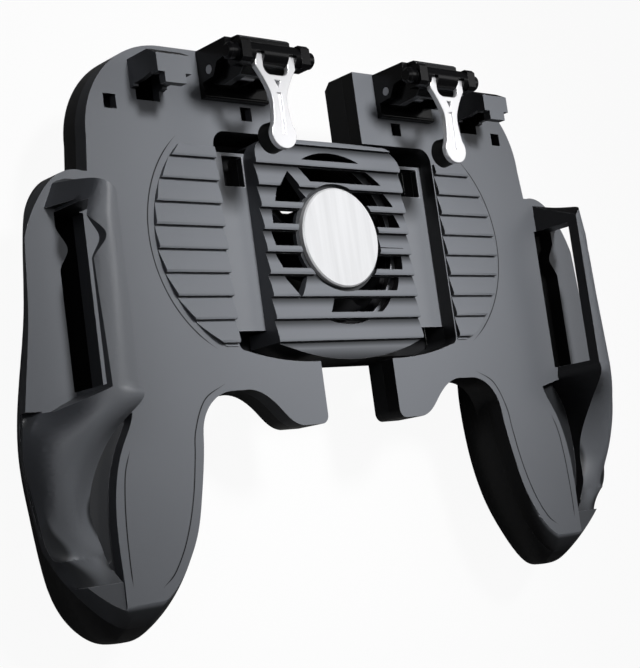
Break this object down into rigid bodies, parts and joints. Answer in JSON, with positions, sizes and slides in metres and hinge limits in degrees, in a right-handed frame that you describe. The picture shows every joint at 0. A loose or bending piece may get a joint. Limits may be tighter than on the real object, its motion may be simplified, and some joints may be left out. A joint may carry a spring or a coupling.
{
  "type": "phone gamepad with cooler",
  "caption": "Stretching phone gamepad: sliding wings with rounded grips, side towers and lever triggers on a central cooler with a ribbed grille, a fan and a round badge.",
  "frame": {"origin": "on the fan's axis, in the plane the controller's flat back lies on", "axes": "+X to the player's right, +Y towards the triggers, +Z out of the face"},
  "size_m": [0.18, 0.1251, 0.0436],
  "materials": {
    "face_plastic": "satin dark grey moulding",
    "back_plastic": "fine matte black moulding",
    "bridge_plastic": "smooth dark grey slide plate",
    "trigger_plastic": "half-gloss black moulding",
    "fan_plastic": "black moulding",
    "button_plastic": "half-gloss black button",
    "badge_metal": "straight brushed",
    "lever_metal": "polished",
    "screw_steel": "plain",
    "socket_steel": "plain",
    "foot_rubber": "matte black",
    "battery_wrap": "foil",
    "board_laminate": "green laminate"
  },
  "bodies": {
    "cooler": {"front_grille": "face_plastic", "badge_disc": "badge_metal", "bridge_plate": "bridge_plastic", "fan_frame": "fan_plastic", "rear_housing": "back_plastic", "rear_cover": "back_plastic", "cover_screws": "screw_steel", "battery_cell": "battery_wrap", "circuit_board": "board_laminate", "charging_inlet": "socket_steel", "button_switch": "fan_plastic"},
    "fan": {"fan_rotor": "fan_plastic", "fan_shaft": "screw_steel"},
    "button": {"power_button": "button_plastic"},
    "left_wing": {"left_front_shell": "face_plastic", "left_back_shell": "back_plastic", "left_trigger_seat": "trigger_plastic", "left_trigger_pin": "screw_steel", "left_trigger_spring": "screw_steel", "left_wing_screws": "screw_steel"},
    "left_trigger": {"left_trigger_key": "trigger_plastic", "left_trigger_bar": "trigger_plastic", "left_trigger_lever": "lever_metal", "left_trigger_foot": "foot_rubber"},
    "right_wing": {"right_front_shell": "face_plastic", "right_back_shell": "back_plastic", "right_trigger_seat": "trigger_plastic", "right_trigger_pin": "screw_steel", "right_trigger_spring": "screw_steel", "right_wing_screws": "screw_steel"},
    "right_trigger": {"right_trigger_key": "trigger_plastic", "right_trigger_bar": "trigger_plastic", "right_trigger_lever": "lever_metal", "right_trigger_foot": "foot_rubber"}
  },
  "joints": [
    {"name": "fan_spin", "type": "hinge", "parent": "cooler", "child": "fan", "pos_m": [0, 0, 0.0157], "axis": [0, 0, 1], "continuous": true},
    {"name": "button_press", "type": "slide", "parent": "cooler", "child": "button", "axis": [0, 1, 0], "range_m": [0, 0.0005], "stiffness_N_per_m": 400, "springref_m": -0.0005},
    {"name": "left_wing_slide", "type": "slide", "parent": "cooler", "child": "left_wing", "axis": [-1, 0, 0], "range_m": [-0.0112, 0.011]},
    {"name": "left_trigger_swing", "type": "hinge", "parent": "left_wing", "child": "left_trigger", "pos_m": [-0.0273, 0.036, 0.0309], "axis": [1, 0, 0], "range_deg": [0, 6], "stiffness_Nm_per_rad": 0.08, "springref_deg": -5.73},
    {"name": "right_wing_slide", "type": "slide", "parent": "cooler", "child": "right_wing", "axis": [1, 0, 0], "range_m": [-0.0112, 0.011]},
    {"name": "right_trigger_swing", "type": "hinge", "parent": "right_wing", "child": "right_trigger", "pos_m": [0.0273, 0.036, 0.0309], "axis": [1, 0, 0], "range_deg": [0, 6], "stiffness_Nm_per_rad": 0.08, "springref_deg": -5.73}
  ]
}
